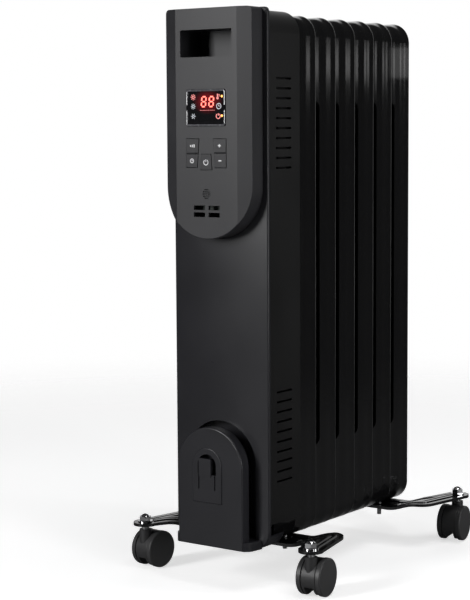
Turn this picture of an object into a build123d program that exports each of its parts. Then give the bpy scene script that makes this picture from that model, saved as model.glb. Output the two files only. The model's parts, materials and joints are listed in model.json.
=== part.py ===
from build123d import *
import math
import os

# Oil filled radiator heater on four twin-wheel casters, in millimetres.
# +X is to the right of a person facing the control panel, -Y is the panel side,
# +Z is up.  The origin is under the middle of the heater, on the floor.

os.makedirs("parts", exist_ok=True)

# ---------------------------------------------------------------- driving dimensions
height = 640.0            # floor to the top of the front cover
length = 380.0            # control panel face to the rear edge of the rear base
cover_width = 127.0       # front cover across its flat front
cover_bottom = 44.5       # lower edge of the front cover above the floor

y_face = -length / 2                  # front of the control panel
panel_rise = 25.5                     # control panel face in front of the cover's fold
y_fold = y_face + panel_rise          # where the front cover turns into its sides
cover_back = y_fold + 4.0             # rear edge of the front cover's side returns
cover_crown = 3.0                     # the cover's middle stands this far in front of its edges

fin_count = 7
fin_pitch = 42.0
fin_width = 122.4
fin_bottom = 47.0
fin_top = 636.0
fin_corner = 24.0
fin_depth = 39.5                      # how far each rim reaches forward from its fold
fin_sheet = 1.2
fold_radius = 1.9
rim_tuck = 4.2                        # how far a rim's free edge sits inside its fold
first_fold = y_fold + 58.4            # rear fold of the first fin
fin_folds = [first_fold + fin_pitch * k for k in range(fin_count)]

header_radius = 20.0
header_bore = 14.0
upper_header = 590.0
lower_header = 95.0
chamber_depth = 14.0                  # oil space in front of each fin's rear sheet

casing_back = y_fold + 62.8
casing_bottom = 74.0
casing_wall = 1.5

stem_x = 115.0                        # caster stems from the centre line
stem_y = y_fold + 5.0                 # front stems; the rear ones mirror them
tip_radius = 14.0
rear_stem_y = length / 2 - tip_radius
plate_top = 54.6                      # base plate top at the casters
sheet = 1.5                           # base plate thickness
flange_drop = 3.6

wheel_radius = 21.5
wheel_width = 5.6
hood_half = 9.0                       # half the caster hood's width
trail = 12.5                          # caster axle behind its stem
front_heading = 5.0                   # how far each caster is turned at rest, degrees
rear_heading = 8.0

count = 0


def keep(piece, name):
    """Label a finished piece and write it to its own STEP file."""
    global count
    piece.part.label = name
    export_step(piece.part, f"parts/{name}.step")
    count += 1


def facing(y):
    """Sketch plane across the heater at depth y; extruding by a plus amount goes forward."""
    return Plane.XZ.offset(-y)


def arch(half, foot, spring):
    """Closed outline with upright sides, a flat foot and a half-round top."""
    with BuildLine() as line:
        Line((-half, spring), (-half, foot))
        Line((-half, foot), (half, foot))
        Line((half, foot), (half, spring))
        ThreePointArc((half, spring), (0, spring + half), (-half, spring))
    return make_face(line.edges(), mode=Mode.PRIVATE)


def cup(half, top, bottom):
    """Closed outline with upright sides, a flat top and a half-round bottom."""
    with BuildLine() as line:
        Line((-half, bottom + half), (-half, top))
        Line((-half, top), (half, top))
        Line((half, top), (half, bottom + half))
        ThreePointArc((half, bottom + half), (0, bottom), (-half, bottom + half))
    return make_face(line.edges(), mode=Mode.PRIVATE)


# ---------------------------------------------------------------- control panel
panel_half = 57.5                     # half the housing's width at its side walls
panel_bottom = 390.0                  # lowest point of its rounded lower end
panel_flat = 41.0                     # half the flat face between the two slanted edges
panel_slant = 5.0                     # the slanted edges fall back this far
panel_wall = 3.0
pocket_half = 34.5
pocket_low, pocket_high = 587.5, 617.0
pocket_back = y_fold + 14.0
window_half = 26.5
window_low, window_high = 512.7, 552.7
window_corner = 2.5
grille_z, grille_radius = 439.3, 5.5
key_gap = 0.35                        # slit all round each button
key_travel = 1.0

# Button outlines on the panel face, as corner points (x, z).  The inner sides slant
# so that the two columns lean towards the power button between them.
keys = {
    "button_mode": [(-26.9, 483.6), (-26.9, 499.3), (-9.6, 499.3), (-10.8, 483.6)],
    "button_timer": [(-26.9, 467.8), (-26.9, 482.6), (-10.9, 482.6), (-12.0, 467.8)],
    "button_power": [(-7.8, 465.4), (-6.4, 482.6), (6.4, 482.6), (7.8, 465.4)],
    "button_plus": [(10.8, 484.2), (9.6, 499.3), (26.9, 499.3), (26.9, 484.2)],
    "button_minus": [(12.0, 467.8), (10.9, 483.2), (26.9, 483.2), (26.9, 467.8)],
}

with BuildPart() as control_panel:
    with BuildSketch(Plane.XY.offset(panel_bottom)):
        with BuildLine():
            Polyline(
                (-panel_half, y_fold + 0.5), (-panel_half, y_face + panel_slant),
                (-panel_flat, y_face), (panel_flat, y_face),
                (panel_half, y_face + panel_slant), (panel_half, y_fold + 0.5), close=True,
            )
        make_face()
    extrude(amount=height - panel_bottom)
    with BuildSketch(facing(y_fold + 1)):
        add(cup(panel_half, height, panel_bottom))
    extrude(amount=panel_rise + 2, mode=Mode.INTERSECT)
    top_corners = control_panel.edges().filter_by(Axis.Y).group_by(Axis.Z)[-1]
    fillet(top_corners, 5.0)
    fillet(control_panel.faces().sort_by(Axis.Y)[0].outer_wire().edges(), 0.8)
    # hollow behind the face
    with BuildSketch(Plane.XY.offset(panel_bottom)):
        with BuildLine():
            inner = panel_half - panel_wall
            Polyline(
                (-inner, y_fold + 1), (-inner, y_face + panel_slant + panel_wall),
                (-panel_flat, y_face + panel_wall), (panel_flat, y_face + panel_wall),
                (inner, y_face + panel_slant + panel_wall), (inner, y_fold + 1), close=True,
            )
        make_face()
    hollow = extrude(amount=height - panel_bottom, mode=Mode.PRIVATE)
    with BuildSketch(facing(y_fold + 1)):
        add(cup(panel_half - panel_wall, height - panel_wall, panel_bottom + panel_wall))
    rounded = extrude(amount=panel_rise, mode=Mode.PRIVATE)
    add(hollow & rounded, mode=Mode.SUBTRACT)
    # collar round the handle recess, then the recess itself
    with BuildSketch(facing(y_face + 20)):
        with Locations((0, (pocket_low + pocket_high) / 2)):
            RectangleRounded(2 * pocket_half + 4, pocket_high - pocket_low + 4, 3)
    extrude(amount=19)
    with BuildSketch(facing(y_face + 20)):
        with Locations((0, (pocket_low + pocket_high) / 2)):
            RectangleRounded(2 * pocket_half, pocket_high - pocket_low, 1.2)
    extrude(amount=21, mode=Mode.SUBTRACT)
    # window, button, sounder and vent openings in the face
    with BuildSketch(facing(y_face + panel_wall + 1)):
        with Locations((0, (window_low + window_high) / 2)):
            RectangleRounded(2 * window_half + 0.4, window_high - window_low + 0.4, window_corner)
        for corners in keys.values():
            opening = Polygon(*corners, align=None, mode=Mode.PRIVATE)
            offset(opening, amount=key_gap, mode=Mode.ADD)
        for row in range(-2, 3):
            drop = 2.3 * row
            reach = math.sqrt(grille_radius ** 2 - drop ** 2)
            with Locations((0, grille_z + drop)):
                SlotOverall(2 * reach, 1.0)
        with Locations((0, 420.3)):
            with GridLocations(20.0, 7.6, 2, 2):
                Rectangle(15.2, 5.0)
    extrude(amount=panel_wall + 3, mode=Mode.SUBTRACT)
keep(control_panel, "control_panel")

with BuildPart() as handle_pocket:
    with BuildSketch(facing(pocket_back + 2)):
        with Locations((0, (pocket_low + pocket_high) / 2)):
            RectangleRounded(2 * pocket_half + 5, pocket_high - pocket_low + 5, 4)
    extrude(amount=pocket_back + 2 - (y_face + 20.3))
    with BuildSketch(facing(pocket_back)):
        with Locations((0, (pocket_low + pocket_high) / 2)):
            RectangleRounded(2 * pocket_half + 0.6, pocket_high - pocket_low + 0.6, 2)
    extrude(amount=pocket_back - y_face, mode=Mode.SUBTRACT)
keep(handle_pocket, "handle_pocket")

with BuildPart() as display_window:
    with BuildSketch(facing(y_face + panel_wall)):
        with Locations((0, (window_low + window_high) / 2)):
            RectangleRounded(2 * window_half, window_high - window_low, window_corner)
    extrude(amount=panel_wall + 0.9)
    chamfer(display_window.faces().sort_by(Axis.Y)[0].outer_wire().edges(), 0.6)
keep(display_window, "display_window")

# ---------------------------------------------------------------- electronics behind the face
board_front = y_face + 12.0
board_thick = 1.6
board_z = 492.0

for key_name, corners in keys.items():
    centre_x = sum(p[0] for p in corners) / len(corners)
    centre_z = sum(p[1] for p in corners) / len(corners)
    with BuildPart() as button:
        with BuildSketch(facing(y_face + panel_wall + 0.1)):
            Polygon(*corners, align=None)
        extrude(amount=panel_wall + 0.1 + 0.7)
        fillet(button.faces().sort_by(Axis.Y)[0].outer_wire().edges(), 0.5)
        with BuildSketch(facing(y_face + panel_wall + 1.3)):
            offset(Polygon(*corners, align=None, mode=Mode.PRIVATE), amount=-0.4)
        extrude(amount=1.3)
        with BuildSketch(facing(y_face + 6.5)):
            with Locations((centre_x, centre_z)):
                Circle(2.0)
        extrude(amount=4.0)
    keep(button, key_name)

key_centres = [(sum(p[0] for p in c) / 4, sum(p[1] for p in c) / 4) for c in keys.values()]

with BuildPart() as button_switches:
    with BuildSketch(facing(board_front)):
        with Locations(*key_centres):
            Rectangle(6.0, 6.0)
    extrude(amount=3.5)
    with BuildSketch(facing(board_front - 3.5)):
        with Locations(*key_centres):
            Circle(1.7)
    extrude(amount=0.7)
keep(button_switches, "button_switches")

with BuildPart() as control_board:
    with BuildSketch(facing(board_front + board_thick)):
        with Locations((0, board_z)):
            RectangleRounded(80, 146, 3)
            with GridLocations(70, 136, 2, 2):
                Circle(1.6, mode=Mode.SUBTRACT)
    extrude(amount=board_thick)
keep(control_board, "control_board")

with BuildPart() as board_screws:
    with BuildSketch(facing(board_front)):
        with Locations((0, board_z)):
            with GridLocations(70, 136, 2, 2):
                Circle(2.8)
    extrude(amount=2.0)
    with BuildSketch(facing(board_front)):
        with Locations((0, board_z)):
            with GridLocations(70, 136, 2, 2):
                Circle(1.5)
    extrude(amount=-8.0)
keep(board_screws, "board_screws")

with BuildPart() as display_module:
    with BuildSketch(facing(board_front)):
        with Locations((0, (window_low + window_high) / 2)):
            Rectangle(48, 36)
    extrude(amount=7.4)
keep(display_module, "display_module")

with BuildPart() as infrared_receiver:
    with BuildSketch(facing(board_front)):
        with Locations((0, 507)):
            Rectangle(6, 6)
    extrude(amount=4)
    with Locations((0, board_front - 4, 507)):
        Sphere(2.2)
keep(infrared_receiver, "infrared_receiver")

with BuildPart() as buzzer:
    with BuildSketch(facing(board_front)):
        with Locations((0, grille_z)):
            Circle(6.0)
    extrude(amount=7.5)
    with BuildSketch(facing(board_front - 7.5)):
        with Locations((0, grille_z)):
            Circle(1.2)
    extrude(amount=-2.0, mode=Mode.SUBTRACT)
keep(buzzer, "buzzer")

power_board_back = y_fold + 7.6
with BuildPart() as power_board:
    with BuildSketch(facing(power_board_back)):
        with Locations((0, 300)):
            RectangleRounded(96, 120, 3)
    extrude(amount=board_thick)
keep(power_board, "power_board")

with BuildPart() as relays:
    with BuildSketch(facing(power_board_back)):
        with Locations((0, 318)):
            with GridLocations(30, 30, 2, 1):
                RectangleRounded(19, 15, 1)
    extrude(amount=-10.0)
keep(relays, "relays")

with BuildPart() as tilt_switch:
    with BuildSketch(facing(y_fold + 6)):
        with Locations((30, 215)):
            RectangleRounded(24, 30, 2)
    extrude(amount=-10.0)
    with BuildSketch(facing(y_fold + 16)):
        with Locations((30, 215)):
            Circle(4.0)
    extrude(amount=-1.5)
keep(tilt_switch, "tilt_switch")

# ---------------------------------------------------------------- front cover
lower_corner = 22.0
upper_corner = 5.0
post_half = 44.0                      # half-width of the cord post's front plate
post_spring = 137.0                   # where its half-round top starts
post_foot = 56.4                      # floor of the well behind the plate
chin_foot = 46.5                      # lower edge of the plate and of the chin
post_front = y_fold - 24.0
plate_back = y_fold - 11.0
well_gap = 2.5
well_back = y_fold + 13.0
tub_top = 61.0
tub_back = y_fold + 30.0
groove_x, groove_z = -39.5, 74.0      # cord inlet, in the floor of the well


def cover_outline():
    """Front outline of the cover: large lower corners and small upper ones."""
    middle = (cover_bottom + height) / 2
    with BuildSketch() as outline:
        with Locations((0, middle)):
            Rectangle(cover_width, height - cover_bottom)
        low_pair = outline.vertices().group_by(Axis.Y)[0]
        fillet(low_pair, lower_corner)
        high_pair = outline.vertices().group_by(Axis.Y)[-1]
        fillet(high_pair, upper_corner)
    return outline.sketch


with BuildPart() as front_cover:
    # crowned front, cut to the outline
    with BuildSketch(Plane.XY):
        with BuildLine():
            half = cover_width / 2
            ThreePointArc((-half, y_fold), (0, y_fold - cover_crown), (half, y_fold))
            Polyline((half, y_fold), (half, tub_back), (-half, tub_back), (-half, y_fold))
        make_face()
    extrude(amount=height + 1)
    with BuildSketch(facing(tub_back)):
        add(cover_outline())
    extrude(amount=tub_back - y_fold + cover_crown + 1, mode=Mode.INTERSECT)
    front_rim = front_cover.faces().sort_by(Axis.Y)[0].outer_wire().edges()
    fillet(front_rim, 1.6)
    # hollow it, and keep only a low tub behind the side returns
    with BuildSketch(facing(tub_back + 1)):
        offset(cover_outline(), amount=-2.5)
    extrude(amount=tub_back + 1 - (y_fold + 2.0), mode=Mode.SUBTRACT)
    with BuildSketch(facing(tub_back + 1)):
        with Locations((0, (tub_top + height + 2) / 2)):
            Rectangle(cover_width + 2, height + 2 - tub_top)
    extrude(amount=tub_back + 1 - cover_back, mode=Mode.SUBTRACT)
    # seat for the control panel, with a window for what stands behind it
    with BuildSketch(facing(y_fold + 0.5)):
        add(cup(panel_half + 0.5, height + 1, panel_bottom - 0.5))
    extrude(amount=10, mode=Mode.SUBTRACT)
    with BuildSketch(facing(y_fold + 5)):
        add(cup(48, 628, 402))
    extrude(amount=10, mode=Mode.SUBTRACT)
    # well for the cord, with the chin that closes it below
    with BuildSketch(facing(well_back + 2)):
        add(arch(post_half + well_gap + 2, post_foot - 2, post_spring))
    extrude(amount=well_back + 2 - y_fold)
    with BuildSketch(Plane.XY.offset(chin_foot)):
        with BuildLine():
            FilletPolyline(
                (-54, y_fold), (-50, y_fold - 24), (50, y_fold - 24), (54, y_fold), radius=13,
            )
            Line((54, y_fold), (-54, y_fold))
        make_face()
    extrude(amount=post_foot - chin_foot)
    with BuildSketch(facing(well_back)):
        add(arch(post_half + well_gap, post_foot, post_spring + well_gap))
    extrude(amount=well_back - y_fold + 30, mode=Mode.SUBTRACT)
    with BuildSketch(facing(plate_back + 0.3)):
        with Locations((0, 60)):
            Rectangle(2 * post_half + 0.6, 40)
    extrude(amount=20, mode=Mode.SUBTRACT)
    with BuildSketch(facing(well_back + 3)):
        with Locations((groove_x, groove_z)):
            Circle(4.5)
    extrude(amount=6, mode=Mode.SUBTRACT)
keep(front_cover, "front_cover")

with BuildPart() as cord_inlet:
    with BuildSketch(facing(well_back)):
        with Locations((groove_x, groove_z)):
            Circle(6.0)
    extrude(amount=2.5)
    with BuildSketch(facing(well_back)):
        with Locations((groove_x, groove_z)):
            Circle(4.5)
    extrude(amount=-4.0)
    with BuildSketch(facing(well_back + 4)):
        with Locations((groove_x, groove_z)):
            Circle(3.2)
    extrude(amount=10, mode=Mode.SUBTRACT)
keep(cord_inlet, "cord_inlet")

# The cord is wound round a post: a core with a wide front plate that keeps it on.
latch_x = -3.0
with BuildPart() as cord_post:
    with BuildSketch(facing(plate_back)):
        add(arch(post_half, chin_foot, post_spring))
    extrude(amount=plate_back - post_front)
    plate_rim = cord_post.faces().sort_by(Axis.Y)[0].outer_wire().edges()
    fillet(plate_rim, 1.5)
    with BuildSketch(facing(well_back)):
        add(arch(post_half - 14, post_foot, post_spring - 2))
    extrude(amount=well_back - plate_back)
    # raised pad round the latch, then the latch opening, its tongue and two flex slits
    with BuildSketch(facing(post_front + 1)):
        with Locations((latch_x, 0)):
            add(arch(20, 96, 138))
    extrude(amount=2.2)
    pad_rim = cord_post.faces().sort_by(Axis.Y)[0].outer_wire().edges()
    fillet(pad_rim, 1.0)
    with BuildSketch(facing(post_front + 9)):
        with Locations((latch_x, 0)):
            add(arch(12.5, 128, 138.5))
    extrude(amount=14, mode=Mode.SUBTRACT)
    with BuildSketch(facing(post_front + 6)):
        with Locations((latch_x, 119.5)):
            with GridLocations(22.0, 1, 2, 1):
                Rectangle(1.4, 17)
    extrude(amount=12, mode=Mode.SUBTRACT)
    with BuildSketch(facing(post_front + 3)):
        with Locations((latch_x - 2.0, 136)):
            RectangleRounded(16.5, 20, 1.5)
    extrude(amount=5.6)
keep(cord_post, "cord_post")

# ---------------------------------------------------------------- side casing
slit_low = y_fold + 16.0
slit_high = y_fold + 46.0
slit_rows = {"upper": (467.2, 564.2), "lower": (120.4, 220.4)}
slit_count = 10

with BuildPart() as side_casing:
    casing_top = 638.5
    casing_low = fin_bottom - 2.5
    with BuildSketch(facing(casing_back)):
        with Locations((0, (casing_top + casing_low) / 2)):
            RectangleRounded(cover_width, casing_top - casing_low, fin_corner + 1.5)
            RectangleRounded(
                cover_width - 2 * casing_wall, casing_top - casing_low - 2 * casing_wall,
                fin_corner, mode=Mode.SUBTRACT,
            )
    extrude(amount=casing_back - cover_back - 0.3)
    with BuildSketch(facing(casing_back + 1)):
        with Locations((0, casing_bottom / 2)):
            Rectangle(cover_width + 10, casing_bottom)
    extrude(amount=casing_back - cover_back + 2, mode=Mode.SUBTRACT)
    with BuildSketch(Plane.YZ):
        for low, high in slit_rows.values():
            step = (high - low) / (slit_count - 1)
            with Locations(((slit_low + slit_high) / 2, (low + high) / 2)):
                with GridLocations(1, step, 1, slit_count):
                    SlotOverall(slit_high - slit_low, 2.4)
    extrude(amount=cover_width, both=True, mode=Mode.SUBTRACT)
keep(side_casing, "side_casing")

# ---------------------------------------------------------------- fins
notch_low, notch_high = 148.0, 540.0  # air slot along each side of a rim
notch_depth = 9.0
channel_top, channel_foot = 606.0, 79.0
bolt_x = 42.0                         # U-bolt legs from the centre line
bolt_gap = y_fold + 58.4 + 4.4        # depth of the front U-bolt



def rim_section(depth, width, height, middle, corner):
    """Outline of a rim at one depth."""
    with BuildSketch(facing(depth)) as section:
        with Locations((0, middle)):
            RectangleRounded(width, height, corner)
    return section.sketch.face()


for k, fold in enumerate(fin_folds):
    middle = (fin_bottom + fin_top) / 2
    with BuildPart() as fin:
        # pan: a rear sheet with a rim that reaches forward and draws in on its way
        rear = rim_section(fold, fin_width, fin_top - fin_bottom, middle, fin_corner)
        free = rim_section(
            fold - fin_depth, fin_width - 2 * rim_tuck, fin_top - fin_bottom - rim_tuck,
            middle - rim_tuck / 2, fin_corner - rim_tuck,
        )
        loft([rear, free])
        rear_fold = fin.faces().sort_by(Axis.Y)[-1].outer_wire().edges()
        fillet(rear_fold, fold_radius)
        inner_width, inner_height = fin_width - 2 * fin_sheet, fin_top - fin_bottom - 2 * fin_sheet
        rear = rim_section(
            fold - fin_sheet, inner_width, inner_height, middle, fin_corner - fin_sheet
        )
        free = rim_section(
            fold - fin_sheet - fin_depth, inner_width - 2 * rim_tuck, inner_height - rim_tuck,
            middle - rim_tuck / 2, fin_corner - fin_sheet - rim_tuck,
        )
        loft([rear, free], mode=Mode.SUBTRACT)
        # air slots in the free edge of the rim, on both sides
        with BuildSketch(Plane.YZ):
            with Locations((fold - fin_depth, (notch_low + notch_high) / 2)):
                RectangleRounded(2 * notch_depth, notch_high - notch_low, notch_depth - 1)
        extrude(amount=fin_width, both=True, mode=Mode.SUBTRACT)
        # oil chamber on the sheet: outside first, then its hollow
        with BuildSketch(facing(fold)):
            with Locations((0, (channel_top + channel_foot) / 2)):
                RectangleRounded(92, channel_top - channel_foot + 30, 28)
        extrude(amount=chamber_depth)
        with BuildSketch(facing(fold)):
            with Locations((0, (channel_top + channel_foot) / 2)):
                with GridLocations(28, 1, 3, 1):
                    SlotOverall(440, 17, rotation=90)
        extrude(amount=-1.8)
        with BuildSketch(facing(fold - fin_sheet)):
            with Locations((0, (channel_top + channel_foot) / 2)):
                RectangleRounded(89.6, channel_top - channel_foot + 27.6, 26.8)
        extrude(amount=chamber_depth - 2 * fin_sheet, mode=Mode.SUBTRACT)
        # the headers run through the chamber; the last fin's rear sheet is drilled for its caps
        with BuildSketch(facing(fold + 3)):
            with Locations((0, upper_header), (0, lower_header)):
                Circle(header_bore)
        extrude(amount=chamber_depth + 5, mode=Mode.SUBTRACT)
        # room for the U-bolt's legs beside the rims that it passes
        if k in (1, fin_count - 1):
            with BuildSketch(Plane.XY.offset(fin_bottom - 1)):
                with Locations((0, fold - fin_depth)):
                    with GridLocations(2 * bolt_x, 1, 2, 1):
                        Rectangle(8, 14)
            extrude(amount=24, mode=Mode.SUBTRACT)
    keep(fin, f"fin_{k + 1}")

for header_name, header_z in (("upper_collars", upper_header), ("lower_collars", lower_header)):
    with BuildPart() as collars:
        for fold in fin_folds[:-1]:
            with BuildSketch(facing(fold)):
                with Locations((0, header_z)):
                    Circle(header_radius)
                    Circle(header_bore, mode=Mode.SUBTRACT)
            extrude(amount=-(fin_pitch - chamber_depth))
    keep(collars, header_name)

first_chamber = first_fold - chamber_depth
with BuildPart() as header_caps:
    with BuildSketch(facing(fin_folds[-1])):
        with Locations((0, upper_header), (0, lower_header)):
            Circle(18)
    extrude(amount=-3.0)
    fillet(header_caps.edges().group_by(Axis.Y)[-1], 1.2)
    with BuildSketch(facing(first_chamber)):
        with Locations((0, upper_header)):
            Circle(18)
    extrude(amount=3.0)
keep(header_caps, "header_caps")

with BuildPart() as element_plug:
    with BuildSketch(facing(first_chamber)):
        with Locations((0, lower_header)):
            RegularPolygon(21, 6)
    extrude(amount=9)
    with BuildSketch(facing(first_chamber - 9)):
        with Locations((0, lower_header)):
            Circle(11)
    extrude(amount=3)
    with BuildSketch(facing(first_chamber)):
        with Locations((0, lower_header)):
            Circle(6.5)
    extrude(amount=20, mode=Mode.SUBTRACT)
keep(element_plug, "element_plug")

with BuildPart() as heating_element:
    element_end = fin_folds[-1] - 20
    with BuildSketch(facing(element_end)):
        with Locations((0, lower_header)):
            Circle(6.5)
    extrude(amount=element_end - (first_chamber - 14))
    with BuildSketch(facing(first_chamber - 14)):
        with Locations((0, lower_header)):
            Circle(2.0)
    extrude(amount=6)
keep(heating_element, "heating_element")

with BuildPart() as thermal_cutout:
    with BuildSketch(facing(first_chamber)):
        with Locations((0, 545)):
            Circle(9)
    extrude(amount=7)
    with BuildSketch(facing(first_chamber - 7)):
        with Locations((0, 545)):
            with GridLocations(9, 1, 2, 1):
                Rectangle(0.8, 6)
    extrude(amount=7)
keep(thermal_cutout, "thermal_cutout")

with BuildPart() as heat_shield:
    shield_y = y_fold + 24.0
    with BuildSketch(facing(shield_y)):
        with Locations((0, (fin_bottom + fin_top) / 2)):
            RectangleRounded(108, 566, 20)
        with Locations((0, lower_header)):
            Circle(14, mode=Mode.SUBTRACT)
    extrude(amount=0.8)
keep(heat_shield, "heat_shield")

# ---------------------------------------------------------------- base plates
bar_near, bar_far = 32.0, 80.0        # the cross-bar, measured from the line of the stems
bar_half = 112.0
bow_start, bow_end = 60.0, 102.0      # the sheet climbs between these, on both sides
bead = 1.1                            # height of the raised beads
bed = fin_bottom - bead               # top of the sheet where the fins rest on its beads
arm_inner = 88.0


def base_plan(grow):
    """Plan of a base plate from its stem line: a cross-bar with an arm to each stem."""
    with BuildSketch() as plan:
        with BuildLine():
            Polyline(
                (-bar_half, bar_far), (-stem_x - tip_radius, 0), (-stem_x + tip_radius, 0),
                (-arm_inner, bar_near), (arm_inner, bar_near), (stem_x - tip_radius, 0),
                (stem_x + tip_radius, 0), (bar_half, bar_far), close=True,
            )
        make_face()
        rear_pair = plan.vertices().group_by(Axis.Y)[-1]
        fillet(rear_pair, 20)
        inner_pair = plan.vertices().filter_by(lambda v: abs(v.Y - bar_near) < 0.1)
        fillet(inner_pair, 26)
        with Locations((stem_x, 0), (-stem_x, 0)):
            Circle(tip_radius)
        if grow:
            offset(amount=grow, mode=Mode.REPLACE)
    return plan.sketch


def base_band(low, high):
    """A band between two heights, level under the fins and bowed up to the casters."""
    rise = plate_top - bed
    with BuildPart() as band:
        with BuildSketch(Plane.XZ):
            with BuildLine():
                for level in (bed + low, bed + high):
                    Line((-bow_start, level), (bow_start, level))
                    for way in (1, -1):
                        Spline(
                            (way * bow_start, level), (way * bow_end, level + rise),
                            tangents=((way, 0), (way, 0)),
                        )
                        Line((way * bow_end, level + rise), (way * 140, level + rise))
                for way in (1, -1):
                    Line((way * 140, bed + low + rise), (way * 140, bed + high + rise))
            make_face()
        extrude(amount=length, both=True)
    return band.part


def base_plate(stem_line, side):
    """Pressed steel base: sheet, turned-down edge and two stiffening beads."""
    turn = Plane(origin=(0, stem_line, 0), x_dir=(side, 0, 0), z_dir=(0, 0, 1))
    layers = [
        (0, None, -sheet, 0.0),
        (0, -sheet, -flange_drop, -sheet),
        (-7.5, -10.5, 0.0, bead),
        (-13.5, -16.5, 0.0, bead),
    ]
    with BuildPart() as plate:
        for outside, inside, low, high in layers:
            with BuildSketch(turn):
                add(base_plan(outside))
                if inside is not None:
                    add(base_plan(inside), mode=Mode.SUBTRACT)
            layer = extrude(amount=100, mode=Mode.PRIVATE)
            add(layer & base_band(low, high))
        with BuildSketch(Plane.XY):
            with Locations((stem_x, stem_line), (-stem_x, stem_line)):
                Circle(4.1)
            with Locations((bolt_x, bolt_line(side)), (-bolt_x, bolt_line(side))):
                Circle(2.6)
        extrude(amount=100, mode=Mode.SUBTRACT)
        with BuildSketch(Plane.XY.offset(plate_top)):
            with Locations((stem_x, stem_line), (-stem_x, stem_line)):
                Circle(9.5)
        extrude(amount=5, mode=Mode.SUBTRACT)
    return plate


def bolt_line(side):
    """Depth of the U-bolt: just behind the first fin, or just behind the last but one."""
    return bolt_gap if side > 0 else bolt_gap + fin_pitch * (fin_count - 2)


front_base = base_plate(stem_y, 1)
keep(front_base, "front_base")
rear_base = base_plate(rear_stem_y, -1)
keep(rear_base, "rear_base")

bolt_radius = 2.5
bolt_crown = lower_header + header_radius + bolt_radius
with BuildPart() as u_bolts:
    for side in (1, -1):
        y = bolt_line(side)
        with BuildLine() as path:
            FilletPolyline(
                (-bolt_x, y, 33), (-bolt_x, y, bolt_crown), (bolt_x, y, bolt_crown),
                (bolt_x, y, 33), radius=14,
            )
        with BuildSketch(Plane(origin=(-bolt_x, y, 33), z_dir=(0, 0, 1))):
            Circle(bolt_radius)
        sweep(path=path.line)
keep(u_bolts, "u_bolts")

with BuildPart() as u_bolt_nuts:
    for side in (1, -1):
        with BuildSketch(Plane.XY.offset(bed - sheet)):
            with Locations((bolt_x, bolt_line(side)), (-bolt_x, bolt_line(side))):
                RegularPolygon(4.6, 6)
                Circle(bolt_radius, mode=Mode.SUBTRACT)
        extrude(amount=-4.2)
keep(u_bolt_nuts, "u_bolt_nuts")

# ---------------------------------------------------------------- caster fixings
stem_radius = 4.0
socket_foot, hood_top = 26.0, 46.0
stem_spots = [(stem_x, stem_y), (-stem_x, stem_y), (stem_x, rear_stem_y), (-stem_x, rear_stem_y)]

with BuildPart() as caster_stems:
    with BuildSketch(Plane.XY.offset(socket_foot + 0.5)):
        with Locations(*stem_spots):
            Circle(stem_radius)
    extrude(amount=62.0 - socket_foot - 0.5)
    with BuildSketch(Plane.XY.offset(plate_top - sheet)):
        with Locations(*stem_spots):
            Circle(6.5)
    extrude(amount=-3.0)
keep(caster_stems, "caster_stems")

with BuildPart() as caster_washers:
    with BuildSketch(Plane.XY.offset(plate_top)):
        with Locations(*stem_spots):
            Circle(8.5)
            Circle(stem_radius, mode=Mode.SUBTRACT)
    extrude(amount=1.4)
keep(caster_washers, "caster_washers")

with BuildPart() as cap_nuts:
    nut_foot = plate_top + 1.4
    with BuildSketch(Plane.XY.offset(nut_foot)):
        with Locations(*stem_spots):
            RegularPolygon(7.2, 6)
    extrude(amount=5.2)
    with Locations(*[(x, y, nut_foot + 5.2) for x, y in stem_spots]):
        Sphere(5.8, arc_size1=0)
    with BuildSketch(Plane.XY.offset(nut_foot)):
        with Locations(*stem_spots):
            Circle(stem_radius)
    extrude(amount=62.4 - nut_foot, mode=Mode.SUBTRACT)
keep(cap_nuts, "cap_nuts")

# ---------------------------------------------------------------- casters
axle_radius = 2.5
running_gap = 0.05


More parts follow.
